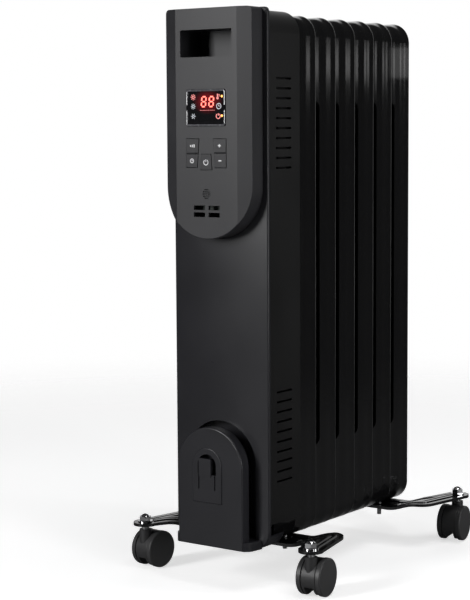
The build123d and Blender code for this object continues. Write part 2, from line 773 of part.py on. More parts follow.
def caster(tag, x, y, heading):
    """Hood, axle and two wheels.  heading turns the wheel's axle away from +X; the wheels
    trail behind the stem, towards the local +Y side."""
    turn = math.radians(heading)
    along = Vector(math.cos(turn), math.sin(turn), 0)
    behind = Vector(-math.sin(turn), math.cos(turn), 0)
    centre = Vector(x, y, wheel_radius) + behind * trail
    side_view = Plane(origin=centre, x_dir=behind, z_dir=along)
    with BuildPart() as hood:
        with BuildSketch(side_view):
            Circle(wheel_radius - 0.5)
            with Locations((0, -wheel_radius)):
                Rectangle(60, 7, mode=Mode.SUBTRACT)
        extrude(amount=hood_half, both=True)
        fillet(hood.faces().filter_by(GeomType.CYLINDER).edges().filter_by(GeomType.CIRCLE), 1.2)
        with BuildSketch(Plane.XY.offset(28)):
            with Locations((x, y)):
                Circle(7.0)
        extrude(amount=hood_top - 28)
        with BuildSketch(Plane.XY.offset(socket_foot)):
            with Locations((x, y)):
                Circle(stem_radius + running_gap)
        extrude(amount=30, mode=Mode.SUBTRACT)
        with BuildSketch(side_view):
            Circle(axle_radius)
        extrude(amount=20, both=True, mode=Mode.SUBTRACT)
        # open mouth between the wheels, below the axle
        with BuildSketch(side_view):
            with Locations((0, -wheel_radius + 6)):
                Rectangle(60, 13)
        extrude(amount=5.5, both=True, mode=Mode.SUBTRACT)
    keep(hood, f"caster_hood_{tag}")
    with BuildPart() as axle:
        with BuildSketch(side_view):
            Circle(axle_radius)
        extrude(amount=hood_half + 4.0, both=True)
    keep(axle, f"caster_axle_{tag}")
    for side_name, way in (("left", -1), ("right", 1)):
        inner_face = Plane(
            origin=centre + along * (way * (hood_half + 0.4)), x_dir=behind, z_dir=along * way,
        )
        with BuildPart() as wheel:
            with BuildSketch(inner_face):
                Circle(wheel_radius)
            extrude(amount=wheel_width)
            outer_rim = wheel.faces().sort_by(Axis(centre, along * way))[-1]
            fillet(outer_rim.edges(), 1.6)
            with BuildSketch(inner_face):
                Circle(axle_radius + running_gap)
            extrude(amount=4.2, mode=Mode.SUBTRACT)
        keep(wheel, f"caster_wheel_{tag}_{side_name}")
    print(tag, "axle centre", [round(v, 3) for v in centre], "axis", [round(v, 5) for v in along])


caster("front_right", stem_x, stem_y, front_heading)
caster("front_left", -stem_x, stem_y, -front_heading)
caster("rear_right", stem_x, rear_stem_y, 180 + rear_heading)
caster("rear_left", -stem_x, rear_stem_y, 180 - rear_heading)

print("pieces", count)
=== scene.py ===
# %% [markdown]
# # An oil filled radiator heater
# The heater is a stack of seven glossy pressed-steel fins full of oil, with a satin plastic
# control end and two bowed base plates on twin-wheel casters.  Its solids come finished from
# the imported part.  This script gives them their paint, plastic and plating, adds the printed
# signs and the lit display, and sets up the studio.

import json
import math

import bmesh
import bpy
import numpy as np
from mathutils import Matrix, Vector


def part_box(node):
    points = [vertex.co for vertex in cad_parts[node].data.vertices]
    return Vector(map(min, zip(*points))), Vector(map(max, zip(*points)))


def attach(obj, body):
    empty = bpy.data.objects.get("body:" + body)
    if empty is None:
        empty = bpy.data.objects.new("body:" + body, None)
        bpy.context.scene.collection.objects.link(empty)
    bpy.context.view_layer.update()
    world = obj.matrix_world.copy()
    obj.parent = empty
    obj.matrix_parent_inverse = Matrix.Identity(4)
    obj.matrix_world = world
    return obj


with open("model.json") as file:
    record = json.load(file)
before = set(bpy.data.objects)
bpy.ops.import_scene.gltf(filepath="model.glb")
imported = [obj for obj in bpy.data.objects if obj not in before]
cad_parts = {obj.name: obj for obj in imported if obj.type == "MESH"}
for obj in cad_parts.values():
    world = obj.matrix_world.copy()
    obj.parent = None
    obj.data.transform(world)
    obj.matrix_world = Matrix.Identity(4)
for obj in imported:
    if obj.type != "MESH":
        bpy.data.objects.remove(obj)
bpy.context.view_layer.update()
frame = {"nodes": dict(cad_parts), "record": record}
nodes = frame["nodes"]

# %% [markdown]
# Places are measured from the part itself: the front of the control panel, the depth of the
# cover's fold and the pitch of the fins.  A driving size that changes in the part then moves
# everything that is added here.

# %% Measure the driving places
mm = 0.001
panel_low, panel_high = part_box("control_panel")
window_low, window_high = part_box("display_window")
panel_face = panel_low.y
window_face = window_low.y
fin_folds = [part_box(f"fin_{k}")[1].y for k in range(1, 8)]
fin_pitch = fin_folds[1] - fin_folds[0]
window_middle = (window_low + window_high) / 2
print("panel face", round(panel_face, 4), "fin pitch", round(fin_pitch, 4))

# %% [markdown]
# ## Camera
# A long lens from the front right, a little above the middle of the heater, looks slightly
# down.  Its position and its three turns are plain numbers, so that the view can be set up
# again anywhere.

# %% Camera
fold_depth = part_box("control_panel")[0].y + 25.5 * mm


def look(yaw, pitch, roll):
    """Camera axes as a matrix: yaw turns the view from +Y towards -X, pitch tips it down and
    roll turns it about its own line of sight.  All three are in degrees."""
    yaw, pitch, roll = (math.radians(a) for a in (yaw, pitch, roll))
    ahead = Vector((-math.sin(yaw) * math.cos(pitch), math.cos(yaw) * math.cos(pitch), -math.sin(pitch)))
    right = Vector((math.cos(yaw), math.sin(yaw), 0))
    above = right.cross(ahead)
    turned_right = math.cos(roll) * right + math.sin(roll) * above
    turned_above = math.cos(roll) * above - math.sin(roll) * right
    return Matrix((turned_right, turned_above, -ahead)).transposed().to_4x4()


camera = bpy.data.objects.new("camera", bpy.data.cameras.new("camera"))
bpy.context.scene.collection.objects.link(camera)
camera.data.lens = 101.6
camera.data.sensor_width = 36
camera.matrix_world = Matrix.Translation((1.1006, -1.5108 + fold_depth, 0.5107)) @ look(35.6, 5.8, -0.35)
bpy.context.scene.camera = camera
print("camera at", [round(v, 3) for v in camera.location])

# %% [markdown]
# ## Studio
# A black glossy body shows its surroundings more than its own colour.  A soft box in front
# on the left washes the plastic, and a narrow box on the right draws the edges.  Two strips
# overhead leave a pair of thin arcs on the corner of every fin, and a small patch behind on
# the right leaves a soft glow high on their sides.  The rest of the room stays dark, apart
# from a bright wall behind the heater that draws a line down every fold.

# %% Lights
target = Vector((0, 0, 0.32))


def soft_box(name, azimuth, height, distance, width, tall, power, aim=target):
    """A rectangular light on a circle round the heater.  Azimuth 0 is in front and 90 is to
    the right, and the light faces the aim point."""
    turn = math.radians(azimuth)
    light = bpy.data.lights.new(name, "AREA")
    light.shape = "RECTANGLE"
    light.size = width
    light.size_y = tall
    light.energy = power
    lamp = bpy.data.objects.new(name, light)
    lamp.location = (distance * math.sin(turn), -distance * math.cos(turn), height)
    lamp.rotation_euler = (aim - lamp.location).to_track_quat("-Z", "Y").to_euler()
    bpy.context.scene.collection.objects.link(lamp)
    return lamp


soft_box("front_box", -19, 1.02, 2.4, 0.50, 1.1, 38)
soft_box("edge_box", 72, 0.75, 2.2, 0.25, 1.5, 7)
soft_box("side_fill", 100, 0.35, 1.9, 0.6, 0.5, 7)
soft_box("near_strip", 60, 2.3, 0.9, 0.10, 1.2, 7)
soft_box("far_strip", 110, 2.3, 0.9, 0.10, 1.2, 7)
soft_box("glow_patch", 142, 0.68, 2.6, 0.36, 0.08, 0.12)
print("lights", len(bpy.data.lights))

# %% [markdown]
# The room is white where it is looked at and dim where it is only reflected, which is how a
# product table with dark screens round it behaves.

# %% Room


def put(tree, kind, inputs=None, **settings):
    """Add a node, set its own settings, and set or link its inputs by name or number."""
    node = tree.nodes.new(kind)
    for key, value in settings.items():
        setattr(node, key, value)
    for key, value in (inputs or {}).items():
        if isinstance(value, bpy.types.NodeSocket):
            tree.links.new(value, node.inputs[key])
        else:
            node.inputs[key].default_value = value
    return node


def sums(tree, operation, *values):
    """A Math node on up to three values, returning its result socket."""
    return put(tree, "ShaderNodeMath", dict(enumerate(values)), operation=operation).outputs[0]


def ramp(tree, value, low, high, to_low=0.0, to_high=1.0):
    """A smooth step of value from low to high."""
    node = put(
        tree, "ShaderNodeMapRange",
        {"Value": value, "From Min": low, "From Max": high, "To Min": to_low, "To Max": to_high},
        interpolation_type="SMOOTHSTEP",
    )
    return node.outputs[0]


world = bpy.data.worlds.new("room")
bpy.context.scene.world = world
world.use_nodes = True
room = world.node_tree
room.nodes.clear()
heading = put(room, "ShaderNodeSeparateXYZ", {0: put(room, "ShaderNodeTexCoord").outputs["Generated"]})
turned = sums(room, "ADD", heading.outputs["Y"], sums(room, "MULTIPLY", heading.outputs["X"], -0.25))
back_wall = ramp(room, turned, 0.86, 0.93, 0.035, 0.8)
seen = put(room, "ShaderNodeLightPath").outputs["Is Camera Ray"]
strength = put(room, "ShaderNodeMix", {0: seen, 2: back_wall, 3: 1.0}, data_type="FLOAT").outputs[0]
glow = put(room, "ShaderNodeBackground", {"Color": (1, 1, 1, 1), "Strength": strength})
put(room, "ShaderNodeOutputWorld", {"Surface": glow.outputs[0]})
bpy.context.scene.view_settings.view_transform = "Standard"
print("room nodes", len(room.nodes))

# %% [markdown]
# ## Building surfaces
# Every added piece is a surface worked out with numpy.  A grid of points becomes a mesh in
# one call, and strips that are carried along a line make rings, bars and signs.

# %% Mesh helpers


def mesh_piece(name, shells, body, material):
    """One object from shells of (points, faces), riding on a body.  Points are in metres in
    the part's own frame, so the object stays at the origin."""
    points, faces, start = [], [], 0
    for shell_points, shell_faces in shells:
        points.append(shell_points)
        faces += [tuple(int(i) + start for i in face) for face in shell_faces]
        start += len(shell_points)
    mesh = bpy.data.meshes.new(name)
    mesh.from_pydata(np.concatenate(points).tolist(), [], faces)
    work = bmesh.new()
    work.from_mesh(mesh)
    bmesh.ops.recalc_face_normals(work, faces=work.faces)
    work.to_mesh(mesh)
    work.free()
    mesh.materials.append(material)
    piece = bpy.data.objects.new(name, mesh)
    bpy.context.scene.collection.objects.link(piece)
    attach(piece, body)
    return piece


def grid_faces(rows, columns, wrap_rows=False):
    """Four-cornered faces of a grid whose columns close on themselves.  With wrap_rows its
    rows do too, and otherwise each end is closed by one face."""
    row = np.arange(rows if wrap_rows else rows - 1)
    column = np.arange(columns)
    r, c = (a.ravel() for a in np.meshgrid(row, column, indexing="ij"))
    here, across = r * columns + c, r * columns + (c + 1) % columns
    after = ((r + 1) % rows) * columns + c
    diagonal = ((r + 1) % rows) * columns + (c + 1) % columns
    faces = np.stack([here, across, diagonal, after], 1).tolist()
    if not wrap_rows:
        faces += [list(range(columns))[::-1], [(rows - 1) * columns + i for i in range(columns)]]
    return faces


def strip(x, z, width, face_y, rise=0.25 * mm, sunk=0.15 * mm, closed=False):
    """A flat raised strip on a wall that faces -Y.  Each point of the line (x, z) is stepped
    half a width to both sides, across the line's own direction; the two edges stand `rise`
    in front of the wall and are repeated `sunk` behind it."""
    line = np.stack([np.asarray(x, float), np.asarray(z, float)], 1)
    along = np.roll(line, -1, 0) - np.roll(line, 1, 0) if closed else np.gradient(line, axis=0)
    along /= np.linalg.norm(along, axis=1)[:, None]
    step = np.stack([-along[:, 1], along[:, 0]], 1) * width / 2
    left, right = line + step, line - step
    front = np.full(len(line), face_y - rise)
    back = np.full(len(line), face_y + sunk)
    ring = [(left, front), (right, front), (right, back), (left, back)]
    points = np.stack([np.stack([e[:, 0], y, e[:, 1]], 1) for e, y in ring], 1).reshape(-1, 3)
    return points, grid_faces(len(line), 4, closed)


def circle_line(x, z, radius, start=0.0, stop=360.0, count=40):
    """Points of a circle or of a part of one, with angles in degrees counted from +X."""
    full = abs(stop - start) >= 360
    turn = np.radians(np.linspace(start, stop, count, endpoint=not full))
    return x + radius * np.cos(turn), z + radius * np.sin(turn)


# %% [markdown]
# ## Effects that several finishes share
# Three small node groups carry what real surfaces have: the grain of a mould, the skin of
# sprayed paint, and the faint marks of handling.  They read the object's own coordinates,
# in metres, so a grain is as large as it says on every piece.

# %% Shared effects


def effect(name, inputs, outputs):
    """An empty shader group with named number inputs and outputs."""
    group = bpy.data.node_groups.new(name, "ShaderNodeTree")
    group.interface.new_socket(name="Place", in_out="INPUT", socket_type="NodeSocketVector")
    for label, value in inputs.items():
        socket = group.interface.new_socket(name=label, in_out="INPUT", socket_type="NodeSocketFloat")
        socket.default_value = value
    for label in outputs:
        group.interface.new_socket(name=label, in_out="OUTPUT", socket_type="NodeSocketFloat")
    return group, group.nodes.new("NodeGroupInput").outputs, group.nodes.new("NodeGroupOutput").inputs


def noise(tree, place, scale, detail=2.0, roughness=0.5):
    """Cloudy noise from 0 to 1 with features of about 1/scale metres."""
    node = put(
        tree, "ShaderNodeTexNoise",
        {"Vector": place, "Scale": scale, "Detail": detail, "Roughness": roughness},
    )
    return node.outputs["Fac"]


# Moulded grain: a fine leathery height, and a slow drift of tone from uneven cooling.
grain, given, result = effect("moulded_grain", {"Size": 0.0006, "Depth": 0.00002}, ["Height", "Drift"])
fine = noise(grain, given["Place"], sums(grain, "DIVIDE", 1.0, given["Size"]), 3.0, 0.6)
grain.links.new(sums(grain, "MULTIPLY", fine, given["Depth"]), result["Height"])
grain.links.new(noise(grain, given["Place"], 11.0, 2.0), result["Drift"])

# Paint skin: orange peel, and the shallow bulge of each pressed half of a rim.
skin, given, result = effect("paint_skin", {"Peel": 0.000006, "Bulge": 0.0, "Pitch": 0.042}, ["Height", "Drift"])
split = put(skin, "ShaderNodeSeparateXYZ", {0: given["Place"]})
wave = sums(skin, "MULTIPLY", sums(skin, "DIVIDE", split.outputs["Y"], given["Pitch"]), 4 * math.pi)
bulge = sums(skin, "MULTIPLY", sums(skin, "COSINE", wave), given["Bulge"])
peel = sums(skin, "MULTIPLY", noise(skin, given["Place"], 260.0, 2.0), given["Peel"])
slow = sums(skin, "MULTIPLY", noise(skin, given["Place"], 14.0, 1.0), 0.0004)
skin.links.new(sums(skin, "ADD", sums(skin, "ADD", bulge, peel), slow), result["Height"])
skin.links.new(noise(skin, given["Place"], 9.0, 3.0), result["Drift"])

# Handling marks: sparse short scuffs, strongest where noise passes a threshold.
marks, given, result = effect("handling_marks", {"Size": 0.02, "Amount": 0.3}, ["Mask"])
stretched = put(marks, "ShaderNodeMapping", {"Vector": given["Place"], "Scale": (1.0, 1.0, 7.0)})
streaks = noise(marks, stretched.outputs[0], sums(marks, "DIVIDE", 1.0, given["Size"]), 6.0, 0.7)
patches = ramp(marks, noise(marks, given["Place"], 18.0, 1.0), 0.45, 0.75)
sparse = ramp(marks, streaks, 0.60, 0.74)
marks.links.new(sums(marks, "MULTIPLY", sums(marks, "MULTIPLY", sparse, patches), given["Amount"]), result["Mask"])
print("groups", [g.name for g in bpy.data.node_groups])

# %% [markdown]
# ## Finishes
# Each finish is a Principled shader whose colour, roughness and normal are driven by those
# effects.  Constants such as the coat are set straight on the shader.

# %% Finish helpers


def tint(tree, mask, low, high):
    """Blend of two colours by a mask."""
    node = put(
        tree, "ShaderNodeMix", {0: mask, 6: (*low, 1), 7: (*high, 1)}, data_type="RGBA",
    )
    return node.outputs[2]


def use(tree, group, **values):
    """Place a shared effect, fed with object coordinates, and return its outputs."""
    place = put(tree, "ShaderNodeTexCoord").outputs["Object"]
    node = tree.nodes.new("ShaderNodeGroup")
    node.node_tree = group
    tree.links.new(place, node.inputs["Place"])
    for label, value in values.items():
        node.inputs[label].default_value = value
    return node.outputs


def new_finish(name, **constants):
    """An empty material with a Principled shader, whose even values are set here."""
    material = bpy.data.materials.new(name)
    material.use_nodes = True
    tree = material.node_tree
    shader = tree.nodes["Principled BSDF"]
    for label, value in constants.items():
        shader.inputs[label.replace("_", " ")].default_value = value
    return material, tree, shader


def bump(tree, shader, height, distance=1.0):
    """Feed a height in metres to the shader's normal."""
    node = put(tree, "ShaderNodeBump", {"Height": height, "Distance": distance, "Strength": 1.0})
    tree.links.new(node.outputs[0], shader.inputs["Normal"])


def moulded(name, colour, roughness, size=0.7 * mm, depth=0.02 * mm, drift=0.25, scuffs=0.25):
    """Injection-moulded plastic: grain in the normal, drifting tone, scuffs that shine."""
    material, tree, shader = new_finish(name, IOR=1.46)
    grained = use(tree, grain, Size=size, Depth=depth)
    marked = use(tree, marks, Size=0.025, Amount=scuffs)
    dark = tuple(c * (1 - drift) for c in colour)
    light = tuple(c * (1 + drift) for c in colour)
    base = put(
        tree, "ShaderNodeMix",
        {0: marked["Mask"], 6: tint(tree, grained["Drift"], dark, light), 7: (*[c * 2.2 for c in colour], 1)},
        data_type="RGBA",
    )
    tree.links.new(base.outputs[2], shader.inputs["Base Color"])
    rough = ramp(tree, grained["Drift"], 0.3, 0.7, roughness * 0.93, roughness * 1.07)
    tree.links.new(sums(tree, "SUBTRACT", rough, sums(tree, "MULTIPLY", marked["Mask"], 0.15)), shader.inputs["Roughness"])
    bump(tree, shader, grained["Height"])
    return material


def enamel(name, colour, roughness, bulge=0.0, coat=0.5):
    """Sprayed and baked gloss paint on pressed steel."""
    material, tree, shader = new_finish(name, IOR=1.5, Coat_Weight=coat, Coat_Roughness=0.04)
    sprayed = use(tree, skin, Peel=0.006 * mm, Bulge=bulge, Pitch=fin_pitch)
    marked = use(tree, marks, Size=0.03, Amount=0.2)
    light = tuple(c * 1.6 for c in colour)
    base = put(
        tree, "ShaderNodeMix",
        {0: marked["Mask"], 6: tint(tree, sprayed["Drift"], colour, light), 7: (0.03, 0.03, 0.03, 1)},
        data_type="RGBA",
    )
    tree.links.new(base.outputs[2], shader.inputs["Base Color"])
    rough = ramp(tree, sprayed["Drift"], 0.3, 0.7, roughness * 0.8, roughness * 1.2)
    tree.links.new(sums(tree, "ADD", rough, sums(tree, "MULTIPLY", marked["Mask"], 0.3)), shader.inputs["Roughness"])
    bump(tree, shader, sprayed["Height"])
    return material


def plated(name, colour, roughness, size=0.15 * mm, depth=0.004 * mm):
    """Zinc, chrome or bare metal: brushed grain and cloudy tarnish."""
    material, tree, shader = new_finish(name, Metallic=1.0)
    grained = use(tree, grain, Size=size, Depth=depth)
    marked = use(tree, marks, Size=0.006, Amount=0.6)
    dull = tuple(c * 0.72 for c in colour)
    base = put(
        tree, "ShaderNodeMix",
        {0: marked["Mask"], 6: tint(tree, grained["Drift"], dull, colour), 7: (*[c * 0.4 for c in colour], 1)},
        data_type="RGBA",
    )
    tree.links.new(base.outputs[2], shader.inputs["Base Color"])
    rough = ramp(tree, grained["Drift"], 0.3, 0.7, roughness * 0.8, roughness * 1.3)
    tree.links.new(sums(tree, "ADD", rough, sums(tree, "MULTIPLY", marked["Mask"], 0.25)), shader.inputs["Roughness"])
    bump(tree, shader, grained["Height"])
    return material


# %% [markdown]
# ### The finishes themselves
# The control end is charcoal plastic with a satin mould grain, and the casing behind it is
# nearly black.  The fins wear deep gloss enamel.  Inside there are boards, brass and foil.

# %% Finishes
finishes = {
    "cover_plastic": moulded("cover_plastic", (0.016, 0.016, 0.019), 0.31),
    "panel_plastic": moulded("panel_plastic", (0.026, 0.026, 0.029), 0.42),
    "casing_plastic": moulded("casing_plastic", (0.0045, 0.0045, 0.0047), 0.34),
    # dark_plastic: a dark moulded plastic whose colour is raised above the cover's as painted light, lifting the shaded
    # handle recess to grey.
    "dark_plastic": moulded("dark_plastic", (0.030, 0.030, 0.033), 0.42),
    "button_plastic": moulded("button_plastic", (0.020, 0.020, 0.023), 0.36, size=0.4 * mm),
    "switch_plastic": moulded("switch_plastic", (0.02, 0.02, 0.02), 0.5),
    "relay_plastic": moulded("relay_plastic", (0.02, 0.06, 0.20), 0.35),
    "caster_plastic": moulded("caster_plastic", (0.026, 0.026, 0.027), 0.46, size=0.5 * mm),
    "wheel_plastic": moulded("wheel_plastic", (0.036, 0.036, 0.037), 0.44, size=0.5 * mm),
    "inlet_rubber": moulded("inlet_rubber", (0.012, 0.012, 0.012), 0.65),
    # board_green: a green circuit board darkened nearly to black as painted shade, so the vents show a dark inside.
    "board_green": moulded("board_green", (0.004, 0.012, 0.007), 0.5, size=0.3 * mm),
    "display_module": moulded("display_module", (0.01, 0.01, 0.01), 0.3),
    "fin_enamel": enamel("fin_enamel", (0.0035, 0.0035, 0.0038), 0.11, bulge=0.30 * mm),
    "base_enamel": enamel("base_enamel", (0.0035, 0.0035, 0.0038), 0.14),
    "bright_steel": plated("bright_steel", (0.80, 0.80, 0.82), 0.10),
    "zinc_steel": plated("zinc_steel", (0.55, 0.55, 0.56), 0.30),
    "brass": plated("brass", (0.60, 0.42, 0.16), 0.25),
    "shield_aluminium": plated("shield_aluminium", (0.70, 0.70, 0.71), 0.28, size=0.6 * mm),
}
print("finishes", len(finishes))

# %% [markdown]
# The display window is a smoked gloss pane.  Behind a real one the lit digits bleed a red
# haze into the pane, so its material glows faintly round the place of the digits: the haze
# fades with the distance from their middle.

# %% Smoked window
digits_x = window_middle.x + 2.9 * mm
digits_z = window_middle.z + 6.6 * mm

pane, tree, shader = new_finish("window_glass", Roughness=0.06, IOR=1.5, Coat_Weight=0.8, Coat_Roughness=0.02)
place = put(tree, "ShaderNodeTexCoord").outputs["Object"]
parts = put(tree, "ShaderNodeSeparateXYZ", {0: place})
off_x = sums(tree, "DIVIDE", sums(tree, "SUBTRACT", parts.outputs["X"], digits_x), 19 * mm)
off_z = sums(tree, "DIVIDE", sums(tree, "SUBTRACT", parts.outputs["Z"], digits_z), 13 * mm)
away = sums(tree, "SQRT", sums(tree, "ADD", sums(tree, "POWER", off_x, 2.0), sums(tree, "POWER", off_z, 2.0)))
haze = sums(tree, "MULTIPLY", ramp(tree, away, 1.15, 0.1), ramp(tree, noise(tree, place, 160.0), 0.2, 0.8, 0.75, 1.0))
tree.links.new(tint(tree, haze, (0.006, 0.006, 0.007), (0.05, 0.004, 0.006)), shader.inputs["Base Color"])
tree.links.new(tint(tree, haze, (0, 0, 0), (0.16, 0.004, 0.008)), shader.inputs["Emission Color"])
shader.inputs["Emission Strength"].default_value = 1.0
finishes["window_glass"] = pane
print("digits at", round(digits_x, 4), round(digits_z, 4))

# %% [markdown]
# Every node of the part takes the finish of its own material slot.

# %% Dress the nodes
slot_of = {row["node"]: row["material_slot"] for row in frame["record"]["subparts"]}
for name, node in nodes.items():
    node.data.materials.clear()
    node.data.materials.append(finishes[slot_of[name]])
print("dressed", len(slot_of))

# %% [markdown]
# ## Lit and printed signs
# Lit signs are a plain emitter whose light is mottled a little, as a diode behind a diffuser
# is.  Printed signs are white ink with a slightly worn, matt surface.

# %% Ink and light


def lit(name, colour, strength):
    """A backlit sign: a dull body that shines in its own colour, brightest in patches."""
    material, tree, shader = new_finish(name, Roughness=0.35, Emission_Strength=strength)
    place = put(tree, "ShaderNodeTexCoord").outputs["Object"]
    patch = noise(tree, place, 420.0, 1.0)
    tree.links.new(tint(tree, patch, tuple(c * 0.7 for c in colour), colour), shader.inputs["Emission Color"])
    tree.links.new(tint(tree, patch, tuple(c * 0.3 for c in colour), tuple(c * 0.5 for c in colour)), shader.inputs["Base Color"])
    return material


def ink(name, colour):
    """Pad-printed ink: nearly even, thinner in specks."""
    material, tree, shader = new_finish(name)
    place = put(tree, "ShaderNodeTexCoord").outputs["Object"]
    speck = noise(tree, place, 2600.0, 2.0)
    tree.links.new(tint(tree, ramp(tree, speck, 0.25, 0.55), tuple(c * 0.6 for c in colour), colour), shader.inputs["Base Color"])
    tree.links.new(ramp(tree, speck, 0.2, 0.8, 0.5, 0.65), shader.inputs["Roughness"])
    return material


red_light = lit("red_light", (1.0, 0.16, 0.12), 3.2)
rose_light = lit("rose_light", (1.0, 0.30, 0.28), 1.0)
amber_light = lit("amber_light", (1.0, 0.42, 0.10), 3.0)
white_light = lit("white_light", (0.80, 0.84, 0.90), 0.5)
white_ink = ink("white_ink", (0.92, 0.92, 0.94))
print("signs in", red_light.name, amber_light.name, white_ink.name)

# %% [markdown]
# A digit is seven bars.  Each bar is a straight strip, and the digit leans a little, as on
# every such display.

# %% Digits


def digit(middle_x, middle_z, width, height, bar, face_y):
    """Seven strips of an 8.  Height shifts each point sideways by a tenth, for the lean."""
    half_w, half_h, gap = width / 2, height / 2, bar * 0.62
    level = [((-half_w + gap, z), (half_w - gap, z)) for z in (-half_h, 0, half_h)]
    upright = [((x, s * gap), (x, s * (half_h - gap))) for x in (-half_w, half_w) for s in (-1, 1)]
    shells = []
    for (x0, z0), (x1, z1) in level + upright:
        x = np.array([x0, (x0 + x1) / 2, x1]) + middle_x
        z = np.array([z0, (z0 + z1) / 2, z1]) + middle_z
        shells.append(strip(x + 0.10 * (z - middle_z), z, bar, face_y))
    return shells


digit_shells = []
for side in (-1, 1):
    digit_shells += digit(digits_x + side * 5.1 * mm, digits_z, 5.6 * mm, 10.6 * mm, 1.45 * mm, window_face)
mesh_piece("lit_digits", digit_shells, "radiator", red_light)
print("digit bars", len(digit_shells))

# %% [markdown]
# The other signs are rings and strokes: three suns for the heat levels on the left, and on
# the right a thermometer, a clock and the standby sign.

# %% Signs on the display


def sun(x, z, size, rays, width):
    """A ring with short rays round it."""
    shells = [strip(*circle_line(x, z, size * 0.42, count=28), width, window_face, closed=True)]
    for k in range(rays):
        turn = 2 * math.pi * k / rays
        reach = np.array([0.72, 0.86, 1.0]) * size
        shells.append(strip(x + reach * math.cos(turn), z + reach * math.sin(turn), width, window_face))
    return shells


def clock(x, z, size, width, face_y):
    """A ring with two hands."""
    hand = np.linspace(0, 1, 3)
    return [
        strip(*circle_line(x, z, size, count=36), width, face_y, closed=True),
        strip(x + 0 * hand, z + 0.62 * size * hand, width, face_y),
        strip(x + 0.45 * size * hand, z + 0 * hand, width, face_y),
    ]


def standby(x, z, size, width, face_y):
    """A ring open at the top with an upright stroke in the opening."""
    stroke = np.linspace(0.15, 1.1, 3) * size
    return [
        strip(*circle_line(x, z, size, 125, 415, 36), width, face_y),
        strip(x + 0 * stroke, z + stroke, width, face_y),
    ]


def thermometer(x, z, size, width, face_y):
    """A bulb with a stem, and two marks beside it."""
    stem = np.linspace(-0.2, 1.0, 3) * size
    mark = np.linspace(0.45, 1.0, 3) * size
    return [
        strip(*circle_line(x, z - 0.55 * size, 0.32 * size, count=24), width * 1.3, face_y, closed=True),
        strip(x + 0 * stem, z + stem, width * 1.5, face_y),
        strip(x + mark, z + 0 * mark + 0.7 * size, width, face_y),
        strip(x + mark, z + 0 * mark + 0.2 * size, width, face_y),
    ]


left_x = window_middle.x - 16.4 * mm
right_x = window_middle.x + 18.0 * mm
rows_z = [window_middle.z + step * mm for step in (11.6, 1.6, -9.1)]
mesh_piece("sign_high_heat", sun(left_x, rows_z[0], 3.3 * mm, 8, 0.75 * mm), "radiator", rose_light)
mesh_piece("sign_mid_heat", sun(left_x, rows_z[1], 3.1 * mm, 8, 0.7 * mm), "radiator", white_light)
mesh_piece("sign_low_heat", sun(left_x, rows_z[2], 3.0 * mm, 6, 0.7 * mm), "radiator", white_light)
mesh_piece("sign_thermometer", thermometer(right_x - 1.6 * mm, rows_z[0] + 0.3 * mm, 2.9 * mm, 0.8 * mm, window_face), "radiator", rose_light)
mesh_piece("sign_clock", clock(right_x, rows_z[1], 2.9 * mm, 0.75 * mm, window_face), "radiator", white_light)
mesh_piece("sign_standby", standby(right_x - 0.8 * mm, rows_z[2], 2.7 * mm, 0.8 * mm, window_face), "radiator", rose_light)

dots = []
for k in range(11):
    start = digits_x - 10.2 * mm + k * 1.85 * mm
    dots.append(strip(np.linspace(start, start + 1.1 * mm, 3), np.full(3, digits_z - 9.3 * mm), 0.45 * mm, window_face))
mesh_piece("sign_week_row", dots, "radiator", rose_light)
print("display signs", 7)

# %% [markdown]
# Two amber diodes shine at the right edge of the pane, beside the thermometer and the
# standby sign.  Each is a low dome: a quarter circle turned about its axis.

# %% Diodes


def dome(x, z, radius, rise, face_y, rings=7, around=24):
    """A low dome on a wall that faces -Y: radius shrinks as the cosine and the height grows
    as the sine of a quarter turn, and a small skirt sinks into the wall."""
    quarter = np.linspace(0, math.pi / 2 * 0.98, rings)
    radii = np.concatenate([[radius], radius * np.cos(quarter)])
    depths = np.concatenate([[face_y + 0.2 * mm], face_y - rise * np.sin(quarter)])
    turn = np.linspace(0, 2 * math.pi, around, endpoint=False)
    r, a = np.meshgrid(radii, turn, indexing="ij")
    y = np.repeat(depths[:, None], around, axis=1)
    points = np.stack([x + r * np.cos(a), y, z + r * np.sin(a)], -1).reshape(-1, 3)
    return points, grid_faces(len(radii), around)


diodes = [dome(right_x + 4.0 * mm, rows_z[k] + up * mm, 1.3 * mm, 0.5 * mm, window_face) for k, up in ((0, 0.6), (2, 0.4))]
mesh_piece("amber_diodes", diodes, "radiator", amber_light)
print("diodes", len(diodes))

# %% [markdown]
# The pane sits in a raised clear frame with a clip notch at the middle of each side.  Its
# cross-section is a low arch, carried round the rounded rectangle of the window.

# %% Window frame


def arch_strip(line, width, rise, face_y, closed=False, steps=7):
    """A half-round bead on a wall that faces -Y: across the line the height follows the sine
    of a half turn, and its foot is sunk a little into the wall."""
    along = np.roll(line, -1, 0) - np.roll(line, 1, 0) if closed else np.gradient(line, axis=0)
    along /= np.linalg.norm(along, axis=1)[:, None]
    across = np.stack([-along[:, 1], along[:, 0]], 1)
    turn = np.linspace(0, math.pi, steps)
    offset = np.concatenate([[0.5, -0.5][:1], 0.5 * np.cos(turn), [-0.5]]) * width
    height = np.concatenate([[-0.3 * mm], rise * np.sin(turn), [-0.3 * mm]])
    spread = line[:, None, :] + across[:, None, :] * offset[None, :, None]
    y = np.broadcast_to(face_y - height, spread.shape[:2])
    points = np.stack([spread[..., 0], y, spread[..., 1]], -1).reshape(-1, 3)
    return points, grid_faces(len(line), len(offset), closed)


